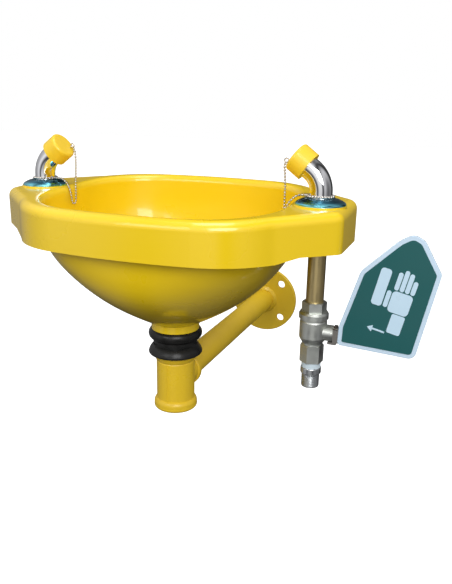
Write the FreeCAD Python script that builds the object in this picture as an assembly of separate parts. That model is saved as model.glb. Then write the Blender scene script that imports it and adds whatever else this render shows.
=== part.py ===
import FreeCAD, Part
import math
import os

# Wall-mounted eyewash basin. Millimetres, +Z up, +Y into the wall, +X to the user's right.
# The origin is the centre of the wall flange's back face, so the wall is the plane Y = 0
# and the support arm runs along -Y at Z = 0.

V = FreeCAD.Vector
X_AXIS = V(1, 0, 0)
Y_AXIS = V(0, 1, 0)
Z_AXIS = V(0, 0, 1)

# ---- driving dimensions ----------------------------------------------------------------
reach = 392.0              # wall face to the drain axis
deck_height = 247.0        # arm axis to the level seats of the two nozzles
nozzle_half_spacing = 187.0
nozzle_forward = 8.0       # nozzle axes sit this far in front of the drain axis

# basin plan, measured from the drain axis
bowl_front = 150.0         # drain axis to the front (and back) of the apron
front_radius = 600.0       # gentle bow of the front and back edges
corner_radius = 110.0      # large corners of the main plan
corner_x = 70.0            # centre of those corners
ear_end = 221.0            # drain axis to the flat end of an ear
ear_end_half = 43.0        # half of an ear's depth at its flat end
ear_root = 140.0           # an ear's slanting sides start this far out
ear_root_half = 116.5      # half of an ear's depth there
ear_radius = 15.0          # corners of an ear in plan
ear_blend = 60.0           # hollow blend between corner and ear

# basin section
rim_slope = 0.045          # the rim rises towards the wall
basin_wall = 4.0
apron_depth = 54.0
ear_depth = 48.0
ear_step_start = 162.0     # the apron's lower edge rises between these two
ear_step_end = 184.0
rim_fillet = 11.0
lip_fillet = 8.5
opening_front = 130.0
opening_radius = 560.0
opening_corner = 88.0
opening_corner_x = 61.0
bowl_straight = 18.0       # depth of the upright band under the lip
bowl_depth = 168.0
bowl_power = 2.6
bowl_shape = 1.05
neck_radius = 31.7
neck_bottom = 181.0
floor_thick = 5.0

# waste, seal and drain tee
waste_radius = 21.0
waste_bore = 17.5
waste_flange_radius = 27.2
waste_flange_thick = 3.0
thread_clearance = 0.05
seal_radius = 35.6
seal_rise = 4.0            # how far the collar climbs the neck
seal_widest = 2.4
seal_disc = 10.2
seal_skirt_radius = 29.4
seal_height = 15.0
nut_across_flats = 53.7
nut_turn = -4.0            # one corner of the nut faces the user
nut_hex_height = 8.0
nut_flange_radius = 35.6
nut_height = 16.0
tee_height = 78.5
tee_radius = 25.6
tee_collar_radius = 29.0
tee_bead_radius = 29.1
tee_bore = 20.0
tee_socket_depth = 13.0
outlet_thread_length = 20.0
branch_radius = 23.0
branch_length = 33.0
branch_band_radius = 24.8

# arm and wall flange
arm_radius = 18.9
arm_wall = 3.0
arm_insert = 9.0
fit_gap = 0.05
flange_radius = 60.8
flange_thick = 7.0
flange_pcd = 91.2
flange_hole_radius = 7.0
flange_hole_count = 4
hub_radius = 25.0
hub_height = 5.0
arm_seat_depth = 3.0

# nozzle stack
shank_radius = 10.4
shank_length = 29.0
tube_radius = 13.0
tube_bore = 8.0
elbow_rise = 14.0
elbow_bend = 30.0
elbow_angle = 53.0
elbow_tail = 5.0
escutcheon_radius = 29.0
escutcheon_height = 7.5
head_radius = 15.0
head_length = 13.0
screen_thick = 1.5
cap_radius = 17.5
cap_length = 20.5
cap_wall = 1.8
cap_gap = 0.3
cap_fillet = 3.5
eyelet_offset = 10.5       # the eye stands off the cap's axis
eyelet_ring = 2.4
eyelet_wire = 0.8
eyelet_stem = 2.2
bead = 3.0                 # diameter of the bead chain
collar_height = 9.5
connector_length = 5.0
washer_radius = 16.0
washer_thick = 2.5
lock_across_flats = 27.0
lock_height = 7.0

# supply pipework
riser_radius = 10.65
riser_bore = 8.0
tee_body_radius = 14.0
under_tee_top = 15.0
under_tee_bottom = 50.0
riser_top = 37.0
branch_drop = 31.0
side_branch_radius = 8.5
side_branch_length = 22.0
cross_radius = 4.75
cross_bore = 3.6
cross_drop = 62.0             # the crossover runs just under the apron

# valve, all heights below the deck
valve_top = 115.0
valve_axis_drop = 152.3
valve_hex_flats = 26.0
valve_hex_height = 12.5
valve_ring_radius = 17.8
valve_body_radius = 16.4
valve_body_bottom = 168.0
valve_port = 7.5
valve_cavity = 12.0
ball_radius = 11.0
ball_port = 6.5
ball_gap = 0.05
seat_radius = 11.4
end_flats = 25.0
end_bottom = 191.0
boss_radius = 9.8
boss_reach = 24.0
stem_radius = 4.5
stem_gap = 0.05
tang_half = 2.0
tang_gap = 0.05
gland_thick = 2.0
nipple_radius = 10.47
nipple_bore = 8.0
nipple_bottom = 223.3
nipple_top = 178.0
nipple_collar_top = 198.0
nipple_collar_bottom = 206.0
nipple_collar_radius = 12.6
tape_radius = 11.7

# push plate
bracket_thick = 3.0
board_thick = 3.0
board_forward = 11.0       # stem axis to the board's back
face_thick = 0.5
symbol_thick = 0.4
border = 5.0
board_corner = 6.0
handle_nut_flats = 12.0
handle_nut_height = 4.5

drain_y = -reach
nozzle_y = drain_y - nozzle_forward
deck = deck_height


def save(name, shape):
    """Write one named piece."""
    shape.exportStep("parts/" + name + ".step")


def rod(x, y, z, radius, length, axis=Z_AXIS):
    return Part.makeCylinder(radius, length, V(x, y, z), axis)


def sleeve(x, y, z, outer, inner, length, axis=Z_AXIS):
    return rod(x, y, z, outer, length, axis).cut(rod(x, y, z, inner, length, axis))


def block(x0, y0, z0, x1, y1, z1):
    return Part.makeBox(x1 - x0, y1 - y0, z1 - z0, V(x0, y0, z0))


def hexagon(x, y, z, flats, height, turn=0.0, axis=Z_AXIS):
    """Hexagonal prism standing on (x, y, z)."""
    reach_out = flats / math.sqrt(3)
    points = []
    for k in range(7):
        angle = math.radians(60 * k + turn)
        points.append(V(reach_out * math.cos(angle), reach_out * math.sin(angle), 0))
    prism = Part.Face(Part.makePolygon(points)).extrude(V(0, 0, height))
    prism.Placement = FreeCAD.Placement(V(x, y, z), FreeCAD.Rotation(Z_AXIS, axis))
    return prism


def turned(profile, x, y, z):
    """Solid of revolution about a vertical axis.

    Each profile entry is (radius, height); a third entry marks the middle of an arc.
    """
    points = [V(entry[0], 0, entry[1]) for entry in profile]
    edges = []
    k = 0
    while k < len(points):
        after = (k + 1) % len(points)
        if len(profile[after]) == 3:
            beyond = (k + 2) % len(points)
            edges.append(Part.Arc(points[k], points[after], points[beyond]).toShape())
            k += 2
        else:
            edges.append(Part.LineSegment(points[k], points[after]).toShape())
            k += 1
    solid = Part.Face(Part.Wire(edges)).revolve(V(0, 0, 0), Z_AXIS, 360)
    solid.translate(V(x, y, z))
    return solid


def rounded(shape, radius, chosen):
    """Fillet the edges that the test picks out."""
    return shape.makeFillet(radius, [edge for edge in shape.Edges if chosen(edge)])


def mirrored(shape):
    return shape.mirror(V(0, 0, 0), X_AXIS)


# ---- basin -----------------------------------------------------------------------------
def bowed_plan(front, bow, corner, centre_x, low, high):
    """Slab whose plan is four big corners joined by two gently bowed edges."""
    bow_y = bow - front
    centre_y = bow_y - math.sqrt((bow - corner) ** 2 - centre_x ** 2)
    share = bow / (bow - corner)
    touch = V(centre_x * share, bow_y + (centre_y - bow_y) * share, 0)
    side = V(centre_x + corner, centre_y, 0)
    lean = math.atan2(touch.y - centre_y, touch.x - centre_x) / 2
    middle = V(centre_x + corner * math.cos(lean), centre_y + corner * math.sin(lean), 0)

    def at(p, sx, sy):
        return V(p.x * sx, p.y * sy, 0)

    edges = [
        Part.Arc(at(touch, -1, 1), V(0, -front, 0), touch).toShape(),
        Part.Arc(touch, middle, side).toShape(),
        Part.LineSegment(side, at(side, 1, -1)).toShape(),
        Part.Arc(at(side, 1, -1), at(middle, 1, -1), at(touch, 1, -1)).toShape(),
        Part.Arc(at(touch, 1, -1), V(0, front, 0), at(touch, -1, -1)).toShape(),
        Part.Arc(at(touch, -1, -1), at(middle, -1, -1), at(side, -1, -1)).toShape(),
        Part.LineSegment(at(side, -1, -1), at(side, -1, 1)).toShape(),
        Part.Arc(at(side, -1, 1), at(middle, -1, 1), at(touch, -1, 1)).toShape(),
    ]
    slab = Part.Face(Part.Wire(edges)).extrude(V(0, 0, high - low))
    slab.translate(V(0, drain_y, low))
    return slab


def ear_slab(inset, low, high):
    """Both ears as one slab: slanting sides that end in small round corners."""
    slant = (ear_root_half - ear_end_half) / (ear_end - ear_root)
    shift = inset * math.sqrt(1 + slant ** 2)
    end = ear_end - inset
    end_half = ear_end_half + slant * inset - shift
    root_half = ear_root_half - shift
    quarter = [(ear_root, root_half), (end, end_half)]
    right = [(x, -y) for x, y in quarter] + [(x, y) for x, y in reversed(quarter)]
    left = [(-x, -y) for x, y in right]
    corners = [V(x, y, 0) for x, y in right + left]
    slab = Part.Face(Part.makePolygon(corners + [corners[0]])).extrude(V(0, 0, high - low))

    def outer_corner(edge):
        box = edge.BoundBox
        return box.ZLength > 0.9 * (high - low) and abs(box.XMin) > end - 0.1

    slab = rounded(slab, ear_radius - inset, outer_corner)
    slab.translate(V(0, drain_y, low))
    return slab


def basin_block(inset, low, high):
    """Full plan with hollow blends where the ears grow out of the corners."""
    main = bowed_plan(bowl_front - inset, front_radius - inset, corner_radius - inset,
                      corner_x, low, high)
    block_ = main.fuse(ear_slab(inset, low, high)).removeSplitter()

    def junction(edge):
        box = edge.BoundBox
        upright = box.ZLength > 0.9 * (high - low) and box.XLength < 0.1 and box.YLength < 0.1
        return upright and 150 < abs(box.XMin) < 180 and abs(box.YMin - drain_y) > 70

    return rounded(block_, ear_blend + inset, junction)


def rim_plane_cut(drop):
    """Everything above the sloping plane of the rim, lowered by drop."""
    lid = Part.makeBox(700, 700, 80, V(-350, -350, 0))
    lid.rotate(V(0, 0, 0), X_AXIS, math.degrees(math.atan(rim_slope)))
    lid.translate(V(0, drain_y, deck - drop))
    return lid


def near_rim(edge, drop):
    """True for an edge that lies in the sloping rim plane."""
    for vertex in edge.Vertexes:
        plane_z = deck - drop + rim_slope * (vertex.Y - drain_y)
        if abs(vertex.Z - plane_z) > 0.2:
            return False
    return True


def opening_reach(angle, grow):
    """Distance from the drain axis to the edge of the bowl's opening."""
    bow_y = opening_radius - opening_front
    centre_y = bow_y - math.sqrt((opening_radius - opening_corner) ** 2 - opening_corner_x ** 2)
    dx = abs(math.cos(angle))
    dy = abs(math.sin(angle))
    corner = opening_corner + grow
    along = dx * opening_corner_x + dy * abs(centre_y)
    gap = opening_corner_x ** 2 + centre_y ** 2 - corner ** 2
    hit = along + math.sqrt(along ** 2 - gap)
    if hit * dy < abs(centre_y):
        hit = (opening_corner_x + corner) / dx
    share = opening_radius / (opening_radius - opening_corner)
    if hit * dx < opening_corner_x * share:
        big = opening_radius + grow
        hit = -bow_y * dy + math.sqrt((bow_y * dy) ** 2 - bow_y ** 2 + big ** 2)
    return hit


def bowl_section(grow, neck, drop, depth):
    """Closed curve of the bowl at one level: the opening's outline turning into a circle."""
    top_circle = opening_corner_x + opening_corner + grow
    t = max(0.0, (drop - bowl_straight) / (depth - bowl_straight))
    shrink = max(0.0, 1 - t ** bowl_power) ** bowl_shape
    w = min(1.0, max(0.0, (drop - 50) / 80.0))
    w = w * w * (3 - 2 * w)
    points = []
    for k in range(48):
        angle = 2 * math.pi * k / 48
        edge = (1 - w) * opening_reach(angle, grow) + w * top_circle
        r = neck + (edge - neck) * shrink
        points.append(V(r * math.cos(angle), r * math.sin(angle) + drain_y, deck - drop))
    curve = Part.BSplineCurve()
    curve.interpolate(Points=points, PeriodicFlag=True)
    return Part.Wire([curve.toShape()])


def bowl_solid(grow, neck, depth):
    """Bowl from the foot of its upright band down to its neck, as one lofted solid."""
    drops = [bowl_straight, 30, 48, 66, 84, 102, 118, 132, 144, 154, 161, depth]
    return Part.makeLoft([bowl_section(grow, neck, drop, depth) for drop in drops], True, False)


def band_solid(grow, top):
    """Upright band between the lip and the bowl proper."""
    outline = bowl_section(grow, 0, bowl_straight, bowl_depth)
    return Part.Face(outline).extrude(V(0, 0, bowl_straight + top))


def apron_trim():
    """Waste under the ears, where the apron's lower edge steps up."""
    low = deck - apron_depth - 20
    pieces = []
    for side in (-1, 1):
        points = [(ear_step_start, deck - apron_depth), (ear_step_end, deck - ear_depth),
                  (ear_end + 20, deck - ear_depth), (ear_end + 20, low), (ear_step_start, low)]
        corners = [V(side * x, drain_y - 200, z) for x, z in points]
        face = Part.Face(Part.makePolygon(corners + [corners[0]]))
        pieces.append(face.extrude(V(0, 400, 0)))
    return pieces


def make_basin():
    low = deck - apron_depth
    outer = basin_block(0, low, deck + 30).cut(rim_plane_cut(0))
    outer = rounded(outer, rim_fillet, lambda edge: near_rim(edge, 0))
    pocket = basin_block(basin_wall, low - 5, deck + 30).cut(rim_plane_cut(basin_wall))
    pocket = rounded(pocket, rim_fillet - basin_wall, lambda edge: near_rim(edge, basin_wall))
    shell = outer.cut(pocket)
    for waste in apron_trim():
        shell = shell.cut(waste)
    band = band_solid(basin_wall, 20).cut(rim_plane_cut(1.0))
    body = shell.fuse([band, bowl_solid(basin_wall, neck_radius - 0.4, bowl_depth)])
    body = body.cut(band_solid(0, 20))

    def lip(edge):
        inside = edge.BoundBox.XLength > 100 and edge.BoundBox.YMin > drain_y - bowl_front + 8
        return near_rim(edge, 0) and inside

    body = rounded(body, lip_fillet, lip)
    body = body.fuse(rod(0, drain_y, deck - neck_bottom, neck_radius, neck_bottom - bowl_depth + 8))
    bore = neck_radius - basin_wall
    body = body.cut(bowl_solid(0, bore - 0.4, bowl_depth - basin_wall))
    floor_z = deck - neck_bottom + floor_thick
    body = body.cut(rod(0, drain_y, floor_z, bore, 18))
    body = body.cut(rod(0, drain_y, floor_z - 20, waste_radius + thread_clearance, 40))
    for side in (-1, 1):
        x = side * nozzle_half_spacing
        body = body.fuse(rod(x, nozzle_y, deck - basin_wall, escutcheon_radius + 1, basin_wall))
        body = body.cut(rod(x, nozzle_y, deck, escutcheon_radius + 1.5, 12))
        body = body.cut(rod(x, nozzle_y, deck - basin_wall - 8, washer_radius + 1, 8))
        body = body.cut(rod(x, nozzle_y, deck - 20, shank_radius + 0.6, 40))
    return body


# ---- waste, seal, locknut, tee -----------------------------------------------------------
floor_top = deck - neck_bottom + floor_thick
seal_top = deck - neck_bottom
nut_top = seal_top - seal_height
tee_top = nut_top - nut_height
tee_bottom = tee_top - tee_height


def make_waste():
    """Flanged tail that clamps the bowl's floor."""
    length = floor_top - (tee_top - tee_socket_depth) - 0.5
    body = rod(0, drain_y, floor_top - length, waste_radius, length)
    body = body.fuse(rod(0, drain_y, floor_top, waste_flange_radius, waste_flange_thick))
    body = body.cut(rod(0, drain_y, floor_top - length, waste_bore, length + 10))
    seat = floor_top + waste_flange_thick - 2.0
    return body.cut(rod(0, drain_y, seat, waste_bore + 4, 10))


def make_strainer():
    """Round plate with rings of holes, dropped into the waste's recess."""
    seat = floor_top + waste_flange_thick - 2.0
    plate = rod(0, drain_y, seat, waste_bore + 3.8, 2.0)
    holes = [rod(0, drain_y, seat - 1, 2.2, 5)]
    for count, radius in ((6, 6.5), (12, 12.5)):
        for k in range(count):
            angle = 2 * math.pi * k / count
            x = radius * math.cos(angle)
            y = drain_y + radius * math.sin(angle)
            holes.append(rod(x, y, seat - 1, 2.2, 5))
    return plate.cut(Part.makeCompound(holes))


def make_seal():
    """Fat rubber collar that hugs the bowl's neck, with a plain skirt under it."""
    inner = waste_radius + thread_clearance
    hug = neck_radius + fit_gap
    return turned([(inner, -seal_height), (inner, 0), (hug, 0), (hug, seal_rise),
                   (seal_radius, -seal_widest, "arc"), (hug - 1.0, -seal_disc),
                   (seal_skirt_radius, -seal_disc - 1.2), (seal_skirt_radius, -seal_height)],
                  0, drain_y, seal_top)


def make_locknut():
    """Plastic nut with a conical flange that closes the tee's mouth."""
    body = hexagon(0, drain_y, nut_top - nut_hex_height, nut_across_flats, nut_hex_height, nut_turn)
    r = nut_flange_radius
    cone = turned([(0, -nut_height), (0, -3.4), (29.3, -3.4), (r - 2.6, -7.2, "arc"),
                   (r, -nut_height + 3.0), (r - 0.2, -nut_height + 1.2, "arc"),
                   (r - 1.4, -nut_height)], 0, drain_y, nut_top)
    body = body.fuse(cone)
    return body.cut(rod(0, drain_y, nut_top - 40, waste_radius + thread_clearance, 60))


def make_tee():
    """Drain tee: socket on top, threaded outlet below, blind branch towards the wall."""
    h = tee_height
    bead_low = tee_bead_radius
    body = turned([(0, -h), (bead_low - 2.4, -h), (bead_low - 0.4, -h + 1.8, "arc"), (bead_low, -h + 5),
                   (bead_low, -h + 8.5), (bead_low - 0.9, -h + 11.6, "arc"), (tee_radius, -h + 14.5),
                   (tee_radius, -11.2), (tee_radius - 0.5, -10.2), (tee_radius + 0.3, -9.2),
                   (tee_collar_radius - 0.9, -4.6, "arc"), (tee_collar_radius, 0), (0, 0)],
                  0, drain_y, tee_top)
    branch = rod(0, drain_y, 0, branch_radius, branch_length, Y_AXIS)
    band = rod(0, drain_y + branch_length - 9, 0, branch_band_radius, 9, Y_AXIS)
    band = rounded(band, 2.0, lambda edge: edge.BoundBox.YLength < 0.1)
    body = body.fuse([branch, band])
    body = body.cut(rod(0, drain_y, tee_bottom, tee_bore, tee_height))
    body = body.cut(rod(0, drain_y, tee_top - tee_socket_depth, waste_radius + 0.3, 20))
    socket_y = drain_y + branch_length - arm_insert
    return body.cut(rod(0, socket_y, 0, arm_radius + fit_gap, 20, Y_AXIS))


# ---- arm and wall flange -----------------------------------------------------------------
def make_arm():
    start = drain_y + branch_length - arm_insert
    length = -flange_thick + arm_seat_depth - start
    return sleeve(0, start, 0, arm_radius, arm_radius - arm_wall, length, Y_AXIS)


def make_flange():
    plate = rod(0, -flange_thick, 0, flange_radius, flange_thick, Y_AXIS)
    plate = rounded(plate, 1.5, lambda edge: abs(edge.BoundBox.YMax + flange_thick) < 0.01)
    face_y = -flange_thick
    hub = Part.makeCone(arm_radius + 1.6, hub_radius, hub_height, V(0, face_y - hub_height, 0), Y_AXIS)
    plate = plate.fuse(hub)
    for k in range(flange_hole_count):
        angle = math.radians(45 + 360 * k / flange_hole_count)
        x = flange_pcd / 2 * math.cos(angle)
        z = flange_pcd / 2 * math.sin(angle)
        plate = plate.cut(rod(x, -30, z, flange_hole_radius, 60, Y_AXIS))
    seat = rod(0, face_y - hub_height - 1, 0, arm_radius + fit_gap, hub_height + 1 + arm_seat_depth, Y_AXIS)
    return plate.cut(seat)


# ---- nozzle stack, made for the right-hand side -------------------------------------------
lean = math.radians(elbow_angle)
nozzle_axis = V(-math.sin(lean), 0, math.cos(lean))
elbow_end = V(nozzle_half_spacing - elbow_bend * (1 - math.cos(lean)) - elbow_tail * math.sin(lean),
              nozzle_y, deck + elbow_rise + elbow_bend * math.sin(lean) + elbow_tail * math.cos(lean))


def along(distance):
    """Point on the nozzle's own axis, measured from the elbow's end."""
    return elbow_end + nozzle_axis * distance


def tilted_rod(radius, start, length):
    return Part.makeCylinder(radius, length, along(start), nozzle_axis)


def elbow_solid(radius):
    """Upright, quarter-like bend and short tail of one radius."""
    x = nozzle_half_spacing
    upright = rod(x, nozzle_y, deck, radius, elbow_rise)
    ring = Part.Face(Part.Wire([Part.makeCircle(radius, V(x, nozzle_y, deck + elbow_rise), Z_AXIS)]))
    bend = ring.revolve(V(x - elbow_bend, nozzle_y, deck + elbow_rise), V(0, -1, 0), elbow_angle)
    tail = tilted_rod(radius, -elbow_tail, elbow_tail)
    return upright.fuse([bend, tail])


def make_elbow():
    body = elbow_solid(tube_radius)
    body = body.fuse(rod(nozzle_half_spacing, nozzle_y, deck - shank_length, shank_radius, shank_length))
    body = body.cut(elbow_solid(tube_bore))
    return body.cut(rod(nozzle_half_spacing, nozzle_y, deck - shank_length, tube_bore, shank_length))


def make_escutcheon():
    """Domed trim plate round the elbow's foot."""
    inner = tube_radius + 0.3
    h = escutcheon_height
    return turned([(inner, h - 2), (inner, h), (16.5, h), (21, h - 1.2), (25.5, h - 3.2),
                   (escutcheon_radius - 0.8, 2.6), (escutcheon_radius, 1.4), (escutcheon_radius, 0),
                   (escutcheon_radius - 2, 0), (24, 1.8), (18, h - 3)],
                  nozzle_half_spacing, nozzle_y, deck)


def make_head():
    """Spray head screwed on the elbow's end: a cup with a seat for the screen."""
    body = tilted_rod(head_radius, 0.0, head_length)
    body = body.cut(tilted_rod(tube_bore, -1, 8))
    return body.cut(tilted_rod(head_radius - 2, 5, head_length))


def make_screen():
    """Perforated disc that softens the stream."""
    start = head_length - screen_thick
    plate = tilted_rod(head_radius - 2.05, start, screen_thick)
    across = nozzle_axis.cross(Y_AXIS)
    holes = [Part.makeCylinder(1.0, 4, along(start - 1), nozzle_axis)]
    for count, radius in ((6, 4.0), (12, 8.5)):
        for k in range(count):
            angle = 2 * math.pi * k / count
            shift = across * (radius * math.cos(angle)) + Y_AXIS * (radius * math.sin(angle))
            holes.append(Part.makeCylinder(1.0, 4, along(start - 1) + shift, nozzle_axis))
    return plate.cut(Part.makeCompound(holes))


def make_cap():
    """Push-on dust cap over the spray head."""
    body = tilted_rod(cap_radius, 0, cap_length)
    top = along(cap_length)
    body = rounded(body, cap_fillet, lambda edge: edge.BoundBox.Center.distanceToPoint(top) < 0.5)
    return body.cut(tilted_rod(head_radius + cap_gap, -1, cap_length - cap_wall + 1))


def make_eyelet(turn):
    """Small screw eye in the cap's end, turned about the cap's axis."""
    down = nozzle_axis.cross(Y_AXIS)
    offset = down * (eyelet_offset * math.cos(math.radians(turn)))
    offset = offset + Y_AXIS * (eyelet_offset * math.sin(math.radians(turn)))
    foot = along(cap_length) + offset
    stem = Part.makeCylinder(eyelet_wire + 0.15, eyelet_stem, foot, nozzle_axis)
    centre = along(cap_length + eyelet_stem + eyelet_ring - eyelet_wire * 0.5) + offset
    ring = Part.makeTorus(eyelet_ring, eyelet_wire, centre, Y_AXIS)
    return stem.fuse(ring)


def make_collar():
    """Bead ring round the elbow's foot, with the little connector that joins the chain."""
    x = nozzle_half_spacing
    radius = tube_radius + bead / 2 + 0.1
    z = deck + collar_height
    ring = Part.makeTorus(radius, bead / 2, V(x, nozzle_y, z), Z_AXIS)
    start = x - radius - bead / 2 - connector_length + 1.0
    return ring.fuse(rod(start, nozzle_y, z, 1.9, connector_length, X_AXIS))


def make_washer():
    z = deck - basin_wall - washer_thick
    return sleeve(nozzle_half_spacing, nozzle_y, z, washer_radius, shank_radius + 0.3, washer_thick)


def make_shank_nut():
    z = deck - basin_wall - washer_thick - lock_height
    nut = hexagon(nozzle_half_spacing, nozzle_y, z, lock_across_flats, lock_height)
    return nut.cut(rod(nozzle_half_spacing, nozzle_y, z - 1, shank_radius + thread_clearance, 20))


# ---- chains: routes chosen by hand, one list each ------------------------------------------
chain_right_route = [
    (143.57, -400.0, 291.94), (142.5, -399.9, 288.2), (143.2, -399.4, 281.0), (144.1, -398.6, 268.0),
    (143.9, -397.8, 250.0), (143.8, -397.0, 233.0), (144.2, -397.0, 224.0), (145.4, -403.8, 224.0),
    (146.0, -404.2, 233.5), (147.4, -403.8, 241.5), (151.6, -402.8, 248.6), (157.0, -401.4, 254.4),
    (162.5, -400.0, 256.5), (166.9, -400.0, 256.5)]
chain_left_route = [
    (-146.73, -390.9, 296.13), (-144.7, -391.2, 292.0), (-143.6, -392.0, 284.0), (-143.2, -393.4, 270.0),
    (-143.3, -395.0, 252.0), (-143.0, -396.2, 235.0), (-143.4, -396.6, 224.2), (-144.6, -402.8, 223.9),
    (-145.0, -403.4, 233.5), (-147.0, -403.2, 243.0), (-151.4, -402.4, 250.0), (-156.8, -401.2, 254.8),
    (-162.5, -400.0, 256.5), (-166.9, -400.0, 256.5)]


def smooth_path(route, share=0.45):
    """Straight runs joined by tangent arcs, as large as the two runs allow."""
    points = [V(*p) for p in route]
    edges = []
    start = points[0]
    tightest = 1e9
    for before, corner, after in zip(points, points[1:], points[2:]):
        back = before - corner
        ahead = after - corner
        cut = share * min(back.Length, ahead.Length)
        turn = math.pi - back.getAngle(ahead)
        radius = cut / math.tan(turn / 2)
        tightest = min(tightest, radius)
        back.normalize()
        ahead.normalize()
        enter = corner + back * cut
        leave = corner + ahead * cut
        inward = back + ahead
        inward.normalize()
        middle = corner + inward * (radius / math.cos(turn / 2) - radius)
        edges.append(Part.LineSegment(start, enter).toShape())
        edges.append(Part.Arc(enter, middle, leave).toShape())
        start = leave
    edges.append(Part.LineSegment(start, points[-1]).toShape())
    return Part.Wire(edges), tightest


def swept(path, radius):
    """Round bar along a path."""
    first = path.Edges[0]
    direction = first.tangentAt(first.FirstParameter)
    circle = Part.makeCircle(radius, first.valueAt(first.FirstParameter), direction)
    return path.makePipeShell([Part.Wire([circle])], True, False)


def make_chain(route):
    path, tightest = smooth_path(route)
    print("chain length", round(path.Length, 1), "tightest bend", round(tightest, 2))
    tube = swept(path, bead / 2)
    print("volume ratio", round(tube.Volume / (path.Length * math.pi * bead ** 2 / 4), 4))
    return tube


# ---- supply pipework under the deck --------------------------------------------------------
def under_fitting(side, bottom, open_below):
    """Fitting on a nozzle's shank with a side branch towards the wall."""
    x = side * nozzle_half_spacing
    body = rod(x, nozzle_y, deck - bottom, tee_body_radius, bottom - under_tee_top)
    z = deck - branch_drop
    body = body.fuse(rod(x, nozzle_y, z, side_branch_radius, side_branch_length, Y_AXIS))
    body = body.cut(rod(x, nozzle_y, z, cross_radius + fit_gap, side_branch_length + 1, Y_AXIS))
    body = body.cut(rod(x, nozzle_y, deck - shank_length - 1, shank_radius + fit_gap, 40))
    if open_below:
        body = body.cut(rod(x, nozzle_y, deck - riser_top, riser_bore, 20))
        return body.cut(rod(x, nozzle_y, deck - bottom - 1, riser_radius + fit_gap, bottom + 1 - riser_top))
    return body.cut(rod(x, nozzle_y, deck - branch_drop - 4, riser_bore, 10))


def make_crossover():
    """Thin pipe from the right-hand tee round the back of the bowl to the left-hand nozzle."""
    start_y = nozzle_y + side_branch_length - 8
    tee_z = deck - branch_drop
    low_z = deck - cross_drop
    half = [(nozzle_half_spacing, start_y, tee_z),
            (nozzle_half_spacing, drain_y + 32, tee_z),
            (nozzle_half_spacing - 13, drain_y + 56, low_z + 12),
            (nozzle_half_spacing - 37, drain_y + 78, low_z + 1),
            (117, drain_y + 116, low_z),
            (64, drain_y + bowl_front - 11, low_z)]
    points = half + [(0, drain_y + bowl_front - 7, low_z)]
    points += [(-x, y, z) for x, y, z in reversed(half)]
    path, tightest = smooth_path(points)
    print("crossover length", round(path.Length, 1), "tightest bend", round(tightest, 1))
    return swept(path, cross_radius).cut(swept(path, cross_bore))


def make_riser():
    top = deck - riser_top
    bottom = deck - valve_top - 11
    return sleeve(nozzle_half_spacing, nozzle_y, bottom, riser_radius, riser_bore, top - bottom)


# ---- valve ---------------------------------------------------------------------------------
valve_z = deck - valve_axis_drop
vx = nozzle_half_spacing


def make_valve_body():
    """Body with a hexagon on top, a ball cavity open below and a stem boss to the right."""
    hex_z = deck - valve_top - valve_hex_height
    body = hexagon(vx, nozzle_y, hex_z, valve_hex_flats, valve_hex_height, 20)
    chamfer = turned([(0, -valve_hex_height - 1), (15.4, -valve_hex_height - 1), (15.4, -1.2), (13.8, 0), (0, 0)],
                     vx, nozzle_y, deck - valve_top)
    body = body.common(chamfer)
    top = -valve_hex_height + 0.5
    low = valve_top - valve_body_bottom
    barrel = turned([(0, low), (12.4, low), (12.4, low + 1.5), (valve_body_radius - 0.6, low + 7),
                     (valve_body_radius, low + 9), (valve_body_radius, -24.5),
                     (valve_body_radius - 0.7, -23), (valve_body_radius - 0.7, -21.2),
                     (valve_ring_radius, -20.2), (valve_ring_radius, -14.6),
                     (valve_ring_radius - 1.6, top), (0, top)],
                    vx, nozzle_y, deck - valve_top)
    boss = rod(vx, nozzle_y, valve_z, boss_radius, boss_reach, X_AXIS)
    body = body.fuse([barrel, boss])
    body = body.cut(rod(vx, nozzle_y, deck - valve_top - 11, riser_radius + fit_gap, 20))
    body = body.cut(rod(vx, nozzle_y, valve_z, valve_port, 60))
    body = body.cut(rod(vx, nozzle_y, deck - valve_body_bottom, valve_cavity, valve_cavity + valve_body_bottom - valve_axis_drop))
    return body.cut(rod(vx, nozzle_y, valve_z, stem_radius + stem_gap, 60, X_AXIS))


def make_valve_end():
    """Hexagonal end piece that screws into the body and holds the lower seat."""
    top = deck - valve_body_bottom
    bottom = deck - end_bottom
    chamfer = turned([(0, bottom - top), (14.0, bottom - top), (14.6, bottom - top + 1.0), (14.6, -2.4), (12.4, 0), (0, 0)],
                     vx, nozzle_y, top)
    body = hexagon(vx, nozzle_y, bottom, end_flats, top - bottom, 20).common(chamfer)
    spigot_top = valve_z - seat_drop() - 3.0
    body = body.fuse(rod(vx, nozzle_y, top - 1, valve_cavity - fit_gap, spigot_top - top + 1))
    body = body.cut(rod(vx, nozzle_y, bottom, valve_port, 60))
    return body.cut(rod(vx, nozzle_y, bottom - 1, nipple_radius + fit_gap, nipple_end() - bottom + 1))


def nipple_end():
    return deck - nipple_top


def seat_drop():
    """Height of a seat's contact face above or below the ball's centre."""
    return math.sqrt((ball_radius + ball_gap) ** 2 - 8.4 ** 2)


def make_seat(side):
    """PTFE ring that cups the ball."""
    low = valve_z + (seat_drop() - 1.0 if side > 0 else -seat_drop() - 3.0)
    high = low + 4.0
    ring = sleeve(vx, nozzle_y, low, seat_radius, valve_port, high - low)
    return ring.cut(Part.makeSphere(ball_radius + ball_gap, V(vx, nozzle_y, valve_z)))


def make_ball():
    """Ball with its port across the flow: the valve is shut."""
    ball = Part.makeSphere(ball_radius, V(vx, nozzle_y, valve_z))
    ball = ball.cut(rod(vx, nozzle_y - 20, valve_z, ball_port, 40, Y_AXIS))
    slot = block(vx + ball_radius - 3.0, nozzle_y - 12, valve_z - tang_half - tang_gap,
                 vx + ball_radius + 1, nozzle_y + 12, valve_z + tang_half + tang_gap)
    return ball.cut(slot)


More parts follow.
